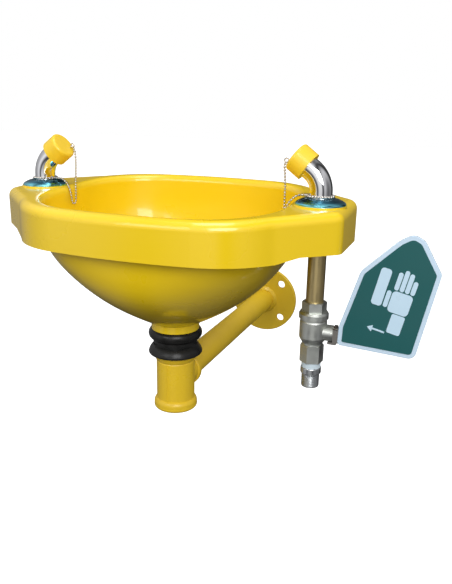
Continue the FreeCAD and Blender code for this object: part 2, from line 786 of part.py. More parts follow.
def make_stem():
    """Stem with a flat tang in the ball's slot."""
    tang_x = vx + ball_radius - 2.9
    shoulder = vx + valve_cavity + 0.6
    end = vx + boss_reach + gland_thick + bracket_thick + handle_nut_height + 1.0
    stem = rod(shoulder, nozzle_y, valve_z, stem_radius, end - shoulder, X_AXIS)
    tang = block(tang_x, nozzle_y - stem_radius, valve_z - tang_half,
                 shoulder, nozzle_y + stem_radius, valve_z + tang_half)
    tang = tang.common(rod(tang_x, nozzle_y, valve_z, stem_radius, 10, X_AXIS))
    return stem.fuse(tang)


def make_gland():
    """Flat gland ring on the boss."""
    return sleeve(vx + boss_reach, nozzle_y, valve_z, boss_radius - 1.0, stem_radius + stem_gap,
                  gland_thick - 0.3, X_AXIS)


def make_nipple():
    bottom = deck - nipple_bottom
    body = rod(vx, nozzle_y, bottom, nipple_radius, nipple_bottom - nipple_top)
    collar_z = deck - nipple_collar_bottom
    collar = rod(vx, nozzle_y, collar_z, nipple_collar_radius, nipple_collar_bottom - nipple_collar_top)
    collar = rounded(collar, 1.2, lambda edge: edge.BoundBox.ZLength < 0.1)
    body = body.fuse(collar)
    return body.cut(rod(vx, nozzle_y, bottom - 1, nipple_bore, 80))


def make_tape():
    z = deck - nipple_collar_top
    return sleeve(vx, nozzle_y, z, tape_radius, nipple_radius, nipple_collar_top - end_bottom)


# ---- push plate ----------------------------------------------------------------------------
board_y = nozzle_y - board_forward
# the board's corners, across from the riser's axis and down from the deck
board_corners = [(32.5, 160.5), (33.3, 136.8), (53.4, 69.0), (93.2, 30.0),
                 (106.5, 23.5), (118.5, 28.5), (140.0, 64.5), (120.5, 165.0)]


def inset_outline(points, inset):
    """Same outline with every side moved inwards."""
    count = len(points)
    lines = []
    for k in range(count):
        a = points[k]
        b = points[(k + 1) % count]
        dx, dz = b[0] - a[0], b[1] - a[1]
        size = math.hypot(dx, dz)
        shift = (-dz / size * inset, dx / size * inset)
        lines.append(((a[0] + shift[0], a[1] + shift[1]), (dx, dz)))
    result = []
    for k in range(count):
        (ax, az), (adx, adz) = lines[k - 1]
        (bx, bz), (bdx, bdz) = lines[k]
        t = ((bx - ax) * bdz - (bz - az) * bdx) / (adx * bdz - adz * bdx)
        result.append((ax + adx * t, az + adz * t))
    return result


def board_slab(inset, radius, back_y, thick):
    """Flat board with rounded corners, standing parallel to the wall."""
    points = [V(vx + x, back_y, deck - drop) for x, drop in inset_outline(board_corners, inset)]
    slab = Part.Face(Part.makePolygon(points + [points[0]])).extrude(V(0, -thick, 0))

    def corner(edge):
        box = edge.BoundBox
        return box.XLength < 0.01 and box.ZLength < 0.01

    return rounded(slab, radius, corner)


def make_bracket():
    """Bent steel strap: an upright cheek on the stem, a long leg behind the board, a stop tab."""
    cheek_x = vx + boss_reach + gland_thick
    leg_y = board_y + bracket_thick
    cheek = rod(cheek_x, nozzle_y, valve_z, 10.8, bracket_thick, X_AXIS)
    web = block(cheek_x, board_y, valve_z - 8, cheek_x + bracket_thick, nozzle_y, valve_z + 8)
    leg = block(cheek_x, board_y, valve_z - 8, cheek_x + 88, leg_y, valve_z + 8)
    tab_x = vx + valve_body_radius + 2.5
    tab = block(tab_x, nozzle_y - 4, valve_z - 13.2, cheek_x + bracket_thick, nozzle_y + 4, valve_z - 10.4)
    neck = block(cheek_x, nozzle_y - 4, valve_z - 13.2, cheek_x + bracket_thick, nozzle_y + 4, valve_z - 6)
    strap = cheek.fuse([web, leg, tab, neck]).removeSplitter()
    return strap.cut(rod(cheek_x - 1, nozzle_y, valve_z, stem_radius + 0.02, 10, X_AXIS))


def make_handle_nut():
    x = vx + boss_reach + gland_thick + bracket_thick
    nut = hexagon(x, nozzle_y, valve_z, handle_nut_flats, handle_nut_height, 0, X_AXIS)
    return nut.cut(rod(x - 1, nozzle_y, valve_z, stem_radius + 0.02, 10, X_AXIS))


def make_fixings():
    """Two welded studs behind the board, with nuts on the strap."""
    pieces = []
    for across in (vx + 52, vx + 96):
        y = board_y + bracket_thick
        nut = hexagon(across, y, valve_z, 8.0, 3.2, 0, Y_AXIS)
        pieces.append(nut.fuse(rod(across, y, valve_z, 2.5, 5.0, Y_AXIS)))
    return Part.makeCompound(pieces)


def bar(x0, d0, x1, d1, width):
    """Round-ended bar of the symbol, between two points of the board."""
    y = board_y - board_thick - face_thick
    a = V(vx + x0, y, deck - d0)
    b = V(vx + x1, y, deck - d1)
    run = b - a
    long = run.Length
    run.normalize()
    side = run.cross(Y_AXIS) * (width / 2)
    corners = [a + side, b + side, b - side, a - side, a + side]
    body = Part.Face(Part.makePolygon(corners)).extrude(V(0, -symbol_thick, 0))
    ends = [Part.makeCylinder(width / 2, symbol_thick, p, V(0, -1, 0)) for p in (a, b)]
    if long < 0.01:
        return ends[0]
    return body.fuse(ends)


def make_symbol():
    """Plain pictogram: an open hand pressing on a bar, with an arrow under it."""
    fingers = [bar(84, 72, 100, 92, 6.2), bar(93, 67, 107, 90, 6.2),
               bar(102, 66, 114, 90, 6.2), bar(111, 70, 119, 92, 5.8)]
    palm = [bar(102, 94, 112, 116, 17), bar(111, 94, 112, 118, 16), bar(92, 116, 103, 104, 7)]
    wrist = [bar(110, 116, 112, 132, 14)]
    plate = [bar(74, 78, 82, 116, 5)]
    arrow = [bar(66, 132, 92, 138, 4), bar(66, 132, 74, 127, 4), bar(66, 132, 72, 140, 4)]
    hand = fingers[0].fuse(fingers[1:] + palm + wrist).removeSplitter()
    pointer = arrow[0].fuse(arrow[1:]).removeSplitter()
    return Part.makeCompound([hand, plate[0], pointer])


# ---- write every piece -----------------------------------------------------------------------
os.makedirs("parts", exist_ok=True)

save("basin", make_basin())
save("waste_tail", make_waste())
save("waste_strainer", make_strainer())
save("waste_seal", make_seal())
save("waste_locknut", make_locknut())
save("drain_tee", make_tee())
save("support_arm", make_arm())
save("wall_flange", make_flange())

nozzle_pieces = {
    "elbow": make_elbow(),
    "escutcheon": make_escutcheon(),
    "spray_head": make_head(),
    "spray_screen": make_screen(),
    "dust_cap": make_cap(),
    "chain_collar": make_collar(),
    "shank_washer": make_washer(),
    "shank_locknut": make_shank_nut(),
}
for name, piece in nozzle_pieces.items():
    save(name + "_right", piece)
    save(name + "_left", mirrored(piece))
save("cap_eyelet_right", make_eyelet(0))
save("cap_eyelet_left", mirrored(make_eyelet(60)))
save("chain_right", make_chain(chain_right_route))
save("chain_left", make_chain(chain_left_route))

save("riser_tee", under_fitting(1, under_tee_bottom, True))
save("left_fitting", under_fitting(-1, under_tee_bottom - 6, False))
save("crossover_pipe", make_crossover())
save("riser_pipe", make_riser())

save("valve_body", make_valve_body())
save("valve_end", make_valve_end())
save("valve_seat_upper", make_seat(1))
save("valve_seat_lower", make_seat(-1))
save("valve_ball", make_ball())
save("valve_stem", make_stem())
save("stem_gland", make_gland())
save("inlet_nipple", make_nipple())
save("thread_tape", make_tape())

save("handle_strap", make_bracket())
save("handle_nut", make_handle_nut())
save("push_plate", board_slab(0, board_corner, board_y, board_thick))
save("plate_face", board_slab(border, board_corner - 3, board_y - board_thick, face_thick))
save("plate_symbol", make_symbol())
save("plate_fixings", make_fixings())
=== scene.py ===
import math

import bmesh
import bpy
from mathutils import Matrix, Vector


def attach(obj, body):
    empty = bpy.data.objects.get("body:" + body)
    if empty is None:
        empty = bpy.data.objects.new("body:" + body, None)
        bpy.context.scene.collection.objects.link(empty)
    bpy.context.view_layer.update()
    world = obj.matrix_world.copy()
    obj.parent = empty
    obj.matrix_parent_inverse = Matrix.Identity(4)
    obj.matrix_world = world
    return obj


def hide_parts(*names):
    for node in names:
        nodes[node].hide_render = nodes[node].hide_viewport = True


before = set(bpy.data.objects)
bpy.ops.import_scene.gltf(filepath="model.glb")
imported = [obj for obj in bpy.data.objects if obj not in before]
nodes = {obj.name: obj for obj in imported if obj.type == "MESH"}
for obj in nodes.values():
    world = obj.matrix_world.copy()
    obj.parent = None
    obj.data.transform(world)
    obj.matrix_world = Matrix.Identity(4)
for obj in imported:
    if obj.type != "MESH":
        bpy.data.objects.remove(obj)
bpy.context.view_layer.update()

# ---- the room --------------------------------------------------------------------------
# A pale studio: one seamless floor, an even white surround and soft lamps in front and
# above, with the camera in front of the basin, a little to its right and looking down.
camera = bpy.data.objects.new("camera", bpy.data.cameras.new("camera"))
bpy.context.scene.collection.objects.link(camera)
camera.data.lens = 39.44
camera.data.sensor_width = 36.0
camera.data.clip_start = 0.05
camera.data.clip_end = 60.0
camera_place = (0.34980, -1.11521, 0.35618)
turned_left, looking_down, rolled = 21.090, 16.503, 1.064
camera.matrix_world = (
    Matrix.Translation(camera_place)
    @ Matrix.Rotation(math.radians(turned_left), 4, "Z")
    @ Matrix.Rotation(math.radians(90 - looking_down), 4, "X")
    @ Matrix.Rotation(math.radians(rolled), 4, "Z")
)
bpy.context.scene.camera = camera
bpy.context.scene.view_settings.view_transform = "Standard"

floor_mesh = bpy.data.meshes.new("studio_floor")
floor_half, floor_height = 14, -0.55
floor_corners = [
    (floor_half * x, floor_half * y, floor_height) for x, y in ((-1, -1), (1, -1), (1, 1), (-1, 1))]
floor_mesh.from_pydata(floor_corners, [], [(0, 1, 2, 3)])
studio_floor = bpy.data.objects.new("studio_floor", floor_mesh)
bpy.context.scene.collection.objects.link(studio_floor)
floor_paint = bpy.data.materials.new("pale_floor")
floor_paint.use_nodes = True
floor_shader = floor_paint.node_tree.nodes["Principled BSDF"]
floor_shader.inputs["Base Color"].default_value = (0.93, 0.93, 0.93, 1)
floor_shader.inputs["Roughness"].default_value = 0.9
floor_shader.inputs["Emission Color"].default_value = (1, 1, 1, 1)
floor_shader.inputs["Emission Strength"].default_value = 0.7
floor_mesh.materials.append(floor_paint)
studio_floor.visible_diffuse = False
studio_floor.visible_glossy = False



def stretched(tree, value, low, high, low_result, high_result):
    """A value stretched from one range to another, held at both ends."""
    stretch = tree.nodes.new("ShaderNodeMapRange")
    for end, number in zip(("From Min", "From Max", "To Min", "To Max"), (low, high, low_result, high_result)):
        stretch.inputs[end].default_value = number
    tree.links.new(value, stretch.inputs["Value"])
    return stretch.outputs["Result"]


# Matt things see a soft glow that grows upwards. Polished things see upright screens of
# light and dark, dimmer low down and behind. The eye sees plain white.
world = bpy.data.worlds.new("surround")
bpy.context.scene.world = world
world.use_nodes = True
sky = world.node_tree
backdrop = sky.nodes["Background"]
facing = sky.nodes.new("ShaderNodeTexCoord")
parts_of_way = sky.nodes.new("ShaderNodeSeparateXYZ")
sky.links.new(facing.outputs["Generated"], parts_of_way.inputs["Vector"])
soft_glow = stretched(sky, parts_of_way.outputs["Z"], -0.5, 0.6, 0.08, 0.76)
across = stretched(sky, parts_of_way.outputs["X"], -1.0, 1.0, 0.0, 1.0)
low_dark = stretched(sky, parts_of_way.outputs["Z"], -0.55, 0.05, 0.20, 1.0)
back_dark = stretched(sky, parts_of_way.outputs["Y"], 0.15, 0.75, 1.0, 0.12)
screens = sky.nodes.new("ShaderNodeValToRGB")
screens.color_ramp.interpolation = "B_SPLINE"
stops = [
    (0.00, 0.35), (0.09, 0.80), (0.18, 1.20), (0.27, 0.25), (0.34, 0.02), (0.42, 0.80),
    (0.54, 1.70), (0.64, 1.50), (0.73, 0.05), (0.80, 0.00), (0.88, 0.80), (0.95, 0.50), (1.00, 0.10),
]
slightly_blue = 1.03
for k, (spot, glow) in enumerate(stops):
    stop = screens.color_ramp.elements[k] if k < 2 else screens.color_ramp.elements.new(spot)
    stop.position = spot
    stop.color = (glow, glow, glow * slightly_blue, 1)
sky.links.new(across, screens.inputs["Fac"])
both_shades = sky.nodes.new("ShaderNodeMath")
both_shades.operation = "MULTIPLY"
sky.links.new(low_dark, both_shades.inputs[0])
sky.links.new(back_dark, both_shades.inputs[1])
shaded_screens = sky.nodes.new("ShaderNodeVectorMath")
shaded_screens.operation = "SCALE"
sky.links.new(screens.outputs["Color"], shaded_screens.inputs[0])
sky.links.new(both_shades.outputs["Value"], shaded_screens.inputs["Scale"])
ray_kind = sky.nodes.new("ShaderNodeLightPath")
for_gloss = sky.nodes.new("ShaderNodeMix")
for_gloss.data_type = "RGBA"
sky.links.new(ray_kind.outputs["Is Glossy Ray"], for_gloss.inputs["Factor"])
sky.links.new(soft_glow, for_gloss.inputs["A"])
sky.links.new(shaded_screens.outputs["Vector"], for_gloss.inputs["B"])
for_eye = sky.nodes.new("ShaderNodeMix")
for_eye.data_type = "RGBA"
for_eye.inputs["B"].default_value = (1, 1, 1, 1)
sky.links.new(ray_kind.outputs["Is Camera Ray"], for_eye.inputs["Factor"])
sky.links.new(for_gloss.outputs["Result"], for_eye.inputs["A"])
sky.links.new(for_eye.outputs["Result"], backdrop.inputs["Color"])
backdrop.inputs["Strength"].default_value = 1.0


def soft_lamp(name, place, target, size, power):
    """Square area lamp aimed at a point."""
    lamp = bpy.data.lights.new(name, "AREA")
    lamp.shape = "SQUARE"
    lamp.size = size
    lamp.energy = power
    holder = bpy.data.objects.new(name, lamp)
    bpy.context.scene.collection.objects.link(holder)
    holder.location = place
    aim = Vector(target) - Vector(place)
    holder.rotation_euler = aim.to_track_quat("-Z", "Y").to_euler()


soft_lamp("front_lamp", (0.95, -1.95, 0.95), (0, -0.4, 0.15), 1.0, 20)
soft_lamp("left_lamp", (-0.5, -2.0, 0.9), (0, -0.4, 0.15), 0.7, 5)
soft_lamp("top_lamp", (0.1, -0.75, 1.9), (0, -0.4, 0.2), 0.8, 9)


# ---- bead chains -----------------------------------------------------------------------
# A ball chain of nickel-plated brass keeps each dust cap from getting lost: hollow beads
# on short dumb-bell links, from the eye in the cap's end to the bead ring at the elbow's foot.
def metal_finish(name, colour, shade, rough, mottle, grain, grain_depth):
    """Bare or plated metal: slight tarnish, uneven polish and a fine surface grain."""
    finish = bpy.data.materials.new(name)
    finish.use_nodes = True
    tree = finish.node_tree
    shader = tree.nodes["Principled BSDF"]
    shader.inputs["Metallic"].default_value = 1.0
    place = tree.nodes.new("ShaderNodeTexCoord")
    tarnish = tree.nodes.new("ShaderNodeTexNoise")
    tarnish.inputs["Scale"].default_value = mottle
    tarnish.inputs["Detail"].default_value = 4.0
    blend = tree.nodes.new("ShaderNodeMix")
    blend.data_type = "RGBA"
    blend.inputs["A"].default_value = (*colour, 1)
    blend.inputs["B"].default_value = (*shade, 1)
    fine = tree.nodes.new("ShaderNodeTexNoise")
    fine.inputs["Scale"].default_value = grain
    fine.inputs["Detail"].default_value = 3.0
    bump = tree.nodes.new("ShaderNodeBump")
    bump.inputs["Strength"].default_value = grain_depth
    bump.inputs["Distance"].default_value = 0.0002
    tree.links.new(place.outputs["Object"], tarnish.inputs["Vector"])
    tree.links.new(place.outputs["Object"], fine.inputs["Vector"])
    tree.links.new(tarnish.outputs["Fac"], blend.inputs["Factor"])
    tree.links.new(blend.outputs["Result"], shader.inputs["Base Color"])
    polish = stretched(tree, tarnish.outputs["Fac"], 0.3, 0.7, rough * 0.75, rough * 1.35)
    tree.links.new(polish, shader.inputs["Roughness"])
    tree.links.new(fine.outputs["Fac"], bump.inputs["Height"])
    tree.links.new(bump.outputs["Normal"], shader.inputs["Normal"])
    return finish


chain_nickel = metal_finish("chain_nickel", (0.72, 0.69, 0.64), (0.42, 0.39, 0.35), 0.2, 260, 900, 0.08)

chain_routes = {
    "right": [
        (0.14357, -0.4, 0.29194), (0.1425, -0.3999, 0.2882), (0.1432, -0.3994, 0.281),
        (0.1441, -0.3986, 0.268), (0.1439, -0.3978, 0.25), (0.1438, -0.397, 0.233),
        (0.1442, -0.397, 0.224), (0.1454, -0.4038, 0.224), (0.146, -0.4042, 0.2335),
        (0.1474, -0.4038, 0.2415), (0.1516, -0.4028, 0.2486), (0.157, -0.4014, 0.2544),
        (0.1625, -0.4, 0.2565), (0.1669, -0.4, 0.2565)],
    "left": [
        (-0.14673, -0.3909, 0.29613), (-0.1447, -0.3912, 0.292), (-0.1436, -0.392, 0.284),
        (-0.1432, -0.3934, 0.27), (-0.1433, -0.395, 0.252), (-0.143, -0.3962, 0.235),
        (-0.1434, -0.3966, 0.2242), (-0.1446, -0.4028, 0.2239), (-0.145, -0.4034, 0.2335),
        (-0.147, -0.4032, 0.243), (-0.1514, -0.4024, 0.25), (-0.1568, -0.4012, 0.2548),
        (-0.1625, -0.4, 0.2565), (-0.1669, -0.4, 0.2565)],
}
bead_radius, bead_pitch, link_radius, link_sides = 0.0015, 0.0036, 0.0005, 8


def limp_line(route):
    """Points along a smooth curve steered by a route."""
    curve = bpy.data.curves.new("line", "CURVE")
    curve.dimensions = "3D"
    curve.resolution_u = 24
    spline = curve.splines.new("NURBS")
    spline.points.add(len(route) - 1)
    for point, place in zip(spline.points, route):
        point.co = (*place, 1)
    spline.order_u = 3
    spline.use_endpoint_u = True
    holder = bpy.data.objects.new("line", curve)
    mesh = bpy.data.meshes.new_from_object(holder)
    points = [v.co.copy() for v in mesh.vertices]
    bpy.data.objects.remove(holder)
    return points


def place_along(points, wanted):
    """Place at a distance along a line of points."""
    walked = 0.0
    for a, b in zip(points, points[1:]):
        step = (b - a).length
        if walked + step >= wanted:
            return a.lerp(b, (wanted - walked) / step)
        walked += step
    return points[-1].copy()


def length_of(points):
    """Length of a line of points."""
    return sum((b - a).length for a, b in zip(points, points[1:]))


def bead(build, place):
    """One hollow bead of the chain."""
    bmesh.ops.create_icosphere(build, subdivisions=3, radius=bead_radius, matrix=Matrix.Translation(place))


def finished_piece(name, build):
    """Turn what was built into a piece of the object."""
    mesh = bpy.data.meshes.new(name)
    build.to_mesh(mesh)
    build.free()
    piece = bpy.data.objects.new(name, mesh)
    bpy.context.scene.collection.objects.link(piece)
    return piece


def ball_chain(name, points):
    """Beads at an even pitch with a thin link through all of them."""
    build = bmesh.new()
    total = length_of(points)
    count = round(total / bead_pitch)
    for k in range(count):
        bead(build, place_along(points, total * (k + 0.5) / count))
    any_slant = Vector((0.31, 0.9, 0.2))
    rings = []
    for point, ahead in zip(points, points[1:] + [points[-1] * 2 - points[-2]]):
        along = (ahead - point).normalized()
        out = along.cross(any_slant).normalized()
        aside = along.cross(out)
        ring = []
        for k in range(link_sides):
            angle = math.tau * k / link_sides
            offset = (out * math.cos(angle) + aside * math.sin(angle)) * bead_radius * 0.33
            ring.append(build.verts.new(point + offset))
        rings.append(ring)
    for low, high in zip(rings, rings[1:]):
        for k in range(link_sides):
            after = (k + 1) % link_sides
            build.faces.new((low[k], low[after], high[after], high[k]))
    piece = finished_piece(name, build)
    piece.data.shade_smooth()
    return piece


for side, route in chain_routes.items():
    line = limp_line(route)
    chain = ball_chain("ball_chain_" + side, line)
    chain.data.materials.append(chain_nickel)
    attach(chain, "cap_" + side)
    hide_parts("chain_" + side)


# ---- basin -----------------------------------------------------------------------------
# One deep moulding with two ears for the nozzles and a skirt round the rim: glass-fibre
# pressed in a heated mould, with a glossy yellow gel coat inside and out.
def coloured_finish(name, colour, shade, rough, mottle, grain, grain_depth, coat=0.0):
    """Plastic or paint: faint unevenness of colour and gloss over a fine texture."""
    finish = metal_finish(name, colour, shade, rough, mottle, grain, grain_depth)
    shader = finish.node_tree.nodes["Principled BSDF"]
    shader.inputs["Metallic"].default_value = 0.0
    shader.inputs["Coat Weight"].default_value = coat
    shader.inputs["Coat Roughness"].default_value = 0.06
    return finish


def dress(finish, *names):
    """Put one finish on the named CAD pieces."""
    for name in names:
        mesh = nodes[name].data
        mesh.materials.clear()
        mesh.materials.append(finish)


gel_coat = coloured_finish(
    "yellow_gel_coat", (0.86, 0.60, 0.004), (0.83, 0.565, 0.004), 0.30, 14, 420, 0.05, 0.6)
dress(gel_coat, "basin")

# ---- waste -----------------------------------------------------------------------------
# A threaded waste of black plastic is clamped through the bowl's floor: flange and steel
# strainer above, a fat rubber collar and a hexagon nut with a conical flange below.
waste_black = coloured_finish(
    "waste_black", (0.010, 0.010, 0.010), (0.016, 0.016, 0.015), 0.30, 60, 900, 0.15)
collar_rubber = coloured_finish(
    "collar_rubber", (0.008, 0.008, 0.008), (0.014, 0.013, 0.012), 0.28, 60, 500, 0.2)
strainer_steel = metal_finish("strainer_steel", (0.60, 0.60, 0.58), (0.48, 0.48, 0.46), 0.22, 90, 900, 0.1)
dull_sheen = 0.3
for finish in (waste_black, collar_rubber):
    finish.node_tree.nodes["Principled BSDF"].inputs["Specular IOR Level"].default_value = dull_sheen
dress(waste_black, "waste_tail", "waste_locknut")
dress(collar_rubber, "waste_seal")
dress(strainer_steel, "waste_strainer")

# ---- drain tee, support arm and wall flange --------------------------------------------
# Steel pipework that carries the basin: a tee with an open lower end for the waste pipe, a
# level arm to the wall and a round plate welded to it, all powder coated yellow.
powder_coat = coloured_finish(
    "yellow_powder_coat", (0.84, 0.57, 0.022), (0.76, 0.50, 0.018), 0.36, 30, 700, 0.3, 0.1)
dress(powder_coat, "drain_tee", "support_arm", "wall_flange")
# The weld seam of the tee's tube stands up a little along its front.
seam_middle, seam_size, seam_round = (0, -0.4176, -0.0045), (0.0016, 0.0010, 0.0530), 0.0004
build = bmesh.new()
bmesh.ops.create_cube(
    build, size=1.0, matrix=Matrix.Translation(seam_middle) @ Matrix.Diagonal((*seam_size, 1)))
bmesh.ops.bevel(build, geom=build.edges[:], offset=seam_round, segments=2, affect="EDGES", profile=0.5)
tee_seam = finished_piece("tee_seam", build)
tee_seam.data.materials.append(powder_coat)
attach(tee_seam, "fixed_body")

# ---- trim plates -----------------------------------------------------------------------
# A pressed plate with a rolled rim hides the hole at each nozzle's foot. It is chromed
# brass that still wears its blue protective film; its rim has a painted highlight in brighter cyan.
nozzle_x, nozzle_y, deck_top = 0.187, -0.4, 0.25
for side, mirror in (("right", 1), ("left", -1)):
    film = metal_finish("film_blue_" + side, (0.06, 0.27, 0.38), (0.03, 0.16, 0.26), 0.2, 120, 900, 0.06)
    tree = film.node_tree
    shader = tree.nodes["Principled BSDF"]
    flat_blue = shader.inputs["Base Color"].links[0].from_socket
    place = tree.nodes.new("ShaderNodeTexCoord")
    from_axis = tree.nodes.new("ShaderNodeVectorMath")
    from_axis.operation = "SUBTRACT"
    from_axis.inputs[1].default_value = (mirror * nozzle_x, nozzle_y, deck_top)
    distance = tree.nodes.new("ShaderNodeVectorMath")
    distance.operation = "LENGTH"
    # Painted highlight: towards the rim the dark film blue is blended into a brighter cyan.
    rim_highlight_paint = tree.nodes.new("ShaderNodeMix")
    rim_highlight_paint.data_type = "RGBA"
    rim_highlight_paint.inputs["B"].default_value = (0.22, 0.66, 0.78, 1)
    tree.links.new(place.outputs["Object"], from_axis.inputs[0])
    tree.links.new(from_axis.outputs["Vector"], distance.inputs[0])
    rim_highlight_share = stretched(tree, distance.outputs["Value"], 0.0245, 0.0290, 0.0, 1.0)
    tree.links.new(rim_highlight_share, rim_highlight_paint.inputs["Factor"])
    tree.links.new(flat_blue, rim_highlight_paint.inputs["A"])
    tree.links.new(rim_highlight_paint.outputs["Result"], shader.inputs["Base Color"])
    dress(film, "escutcheon_" + side)

# ---- nozzle elbows ---------------------------------------------------------------------
# Short bent tubes of chromed brass with a threaded shank under the deck, each held there
# by a rubber washer and a brass locknut.
chrome_plate = metal_finish("chrome_plate", (0.82, 0.82, 0.83), (0.76, 0.76, 0.77), 0.05, 40, 900, 0.02)
shank_rubber = coloured_finish("shank_rubber", (0.015, 0.015, 0.016), (0.03, 0.03, 0.03), 0.55, 60, 900, 0.2)
turned_brass = metal_finish("turned_brass", (0.56, 0.46, 0.26), (0.46, 0.37, 0.20), 0.3, 45, 900, 0.1)
dress(chrome_plate, "elbow_right", "elbow_left")
dress(shank_rubber, "shank_washer_right", "shank_washer_left")
dress(turned_brass, "shank_locknut_right", "shank_locknut_left")

# ---- bead rings ------------------------------------------------------------------------
# A loop of the same ball chain lies round each elbow's foot on the trim plate, closed by a
# small folded connector of nickel-plated brass that also holds the hanging chain.
ring_radius, ring_height, ring_ripple, ring_beads, ring_link_length = 0.0146, 0.2565, 0.0003, 23, 0.0042
connector_x, connector_size, connector_round = 0.16955, (0.0053, 0.0036, 0.0032), 0.0009
for side, mirror in (("right", 1), ("left", -1)):
    build = bmesh.new()
    for k in range(ring_beads):
        angle, half_way = math.tau * k / ring_beads, math.tau * (k + 0.5) / ring_beads
        bead(build, (
            mirror * (nozzle_x - ring_radius * math.cos(angle)),
            nozzle_y + ring_radius * math.sin(angle),
            ring_height + ring_ripple * math.sin(3 * angle)))
        link_middle = Matrix.Translation((
            mirror * (nozzle_x - ring_radius * math.cos(half_way)),
            nozzle_y + ring_radius * math.sin(half_way),
            ring_height))
        link_way = Vector((mirror * math.sin(half_way), math.cos(half_way), 0))
        bmesh.ops.create_cone(
            build, cap_ends=True, segments=link_sides, radius1=link_radius, radius2=link_radius,
            depth=ring_link_length, matrix=link_middle @ link_way.to_track_quat("Z", "Y").to_matrix().to_4x4())
    connector_middle = Matrix.Translation((mirror * connector_x, nozzle_y, ring_height))
    shell = bmesh.ops.create_cube(
        build, size=1.0, matrix=connector_middle @ Matrix.Diagonal((*connector_size, 1)))
    bmesh.ops.bevel(
        build, geom=[e for e in build.edges if all(v in shell["verts"] for v in e.verts)],
        offset=connector_round, segments=3, affect="EDGES", profile=0.5)
    bead_ring = finished_piece("bead_ring_" + side, build)
    bead_ring.data.shade_smooth()
    bead_ring.data.materials.append(chain_nickel)
    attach(bead_ring, "fixed_body")
    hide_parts("chain_collar_" + side)

# ---- spray heads and dust caps ---------------------------------------------------------
# Moulded plastic cups with a fine steel screen, and a push-on yellow cap over each one
# that the first rush of water throws off. A wire eye in the cap holds the chain.
cap_plastic = coloured_finish("cap_yellow", (0.90, 0.62, 0.030), (0.86, 0.57, 0.025), 0.34, 60, 800, 0.1, 0.2)
screen_steel = metal_finish("screen_steel", (0.58, 0.58, 0.57), (0.46, 0.46, 0.45), 0.3, 90, 900, 0.1)
dress(cap_plastic, "spray_head_right", "spray_head_left", "dust_cap_right", "dust_cap_left")
dress(screen_steel, "spray_screen_right", "spray_screen_left")
dress(chain_nickel, "cap_eyelet_right", "cap_eyelet_left")

# ---- supply pipework -------------------------------------------------------------------
# Brass tee, elbow fitting, thin side pipe and riser under the deck, left bare and dulled
# to a grey brown by handling and air.
aged_brass = metal_finish("aged_brass", (0.66, 0.52, 0.25), (0.50, 0.39, 0.18), 0.34, 45, 900, 0.12)
dress(aged_brass, "riser_tee", "left_fitting", "crossover_pipe", "riser_pipe")

# ---- ball valve ------------------------------------------------------------------------
# A two-piece valve of cast brass, nickel plated over the rough casting, with a chromed
# ball between two white seats, a steel stem and a screwed gland ring.
cast_nickel = metal_finish("cast_nickel", (0.66, 0.68, 0.64), (0.50, 0.52, 0.48), 0.40, 70, 600, 0.5)
seat_white = coloured_finish("seat_white", (0.8, 0.8, 0.77), (0.7, 0.7, 0.67), 0.5, 90, 900, 0.2)
stem_steel = metal_finish("stem_steel", (0.55, 0.54, 0.51), (0.42, 0.41, 0.38), 0.25, 90, 900, 0.1)
dress(cast_nickel, "valve_body", "valve_end", "stem_gland")
dress(seat_white, "valve_seat_upper", "valve_seat_lower")
dress(chrome_plate, "valve_ball")
dress(stem_steel, "valve_stem")

# ---- inlet nipple ----------------------------------------------------------------------
# A short threaded steel pipe screwed in below the valve, sealed with a few turns of white
# tape on its upper thread.
nipple_steel = metal_finish("nipple_steel", (0.70, 0.72, 0.73), (0.50, 0.52, 0.53), 0.28, 90, 900, 0.15)
tape_white = coloured_finish("tape_white", (0.66, 0.76, 0.82), (0.56, 0.68, 0.76), 0.55, 90, 300, 0.8)
dress(nipple_steel, "inlet_nipple")
dress(tape_white, "thread_tape")


def turned_skin(name, profile, middle, steps=64):
    """Closed ring of revolution about an upright axis from (radius, height) points."""
    build = bmesh.new()
    rings = []
    for k in range(steps):
        angle = math.tau * k / steps
        rings.append([
            build.verts.new((middle[0] + r * math.cos(angle), middle[1] + r * math.sin(angle), z))
            for r, z in profile])
    for here, after in zip(rings, rings[1:] + rings[:1]):
        for k in range(len(profile)):
            low, high = k, (k + 1) % len(profile)
            build.faces.new((here[low], after[low], after[high], here[high]))
    bmesh.ops.recalc_face_normals(build, faces=build.faces)
    return finished_piece(name, build)


thread_low, thread_high, thread_pitch = 0.0246, 0.0392, 0.0014
thread_inside, thread_root, thread_crest = 0.0103, 0.0105, 0.01095
profile = [(thread_inside, thread_low)]
height = thread_low
while height < thread_high:
    profile += [(thread_crest, height + thread_pitch * 0.3), (thread_crest, height + thread_pitch * 0.45),
                (thread_root, height + thread_pitch * 0.75), (thread_root, height + thread_pitch * 0.9)]
    height += thread_pitch
profile.append((thread_inside, height))
threads = turned_skin("pipe_thread", profile, (nozzle_x, nozzle_y))
threads.data.materials.append(nipple_steel)
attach(threads, "fixed_body")

# ---- handle ----------------------------------------------------------------------------
# A bent strap of zinc-plated steel on the stem's flats carries the board on two studs; a
# thin nut holds it on the stem.
strap_steel = metal_finish("strap_steel", (0.48, 0.46, 0.42), (0.32, 0.30, 0.27), 0.3, 90, 900, 0.15)
dress(strap_steel, "handle_strap", "handle_nut", "plate_fixings")

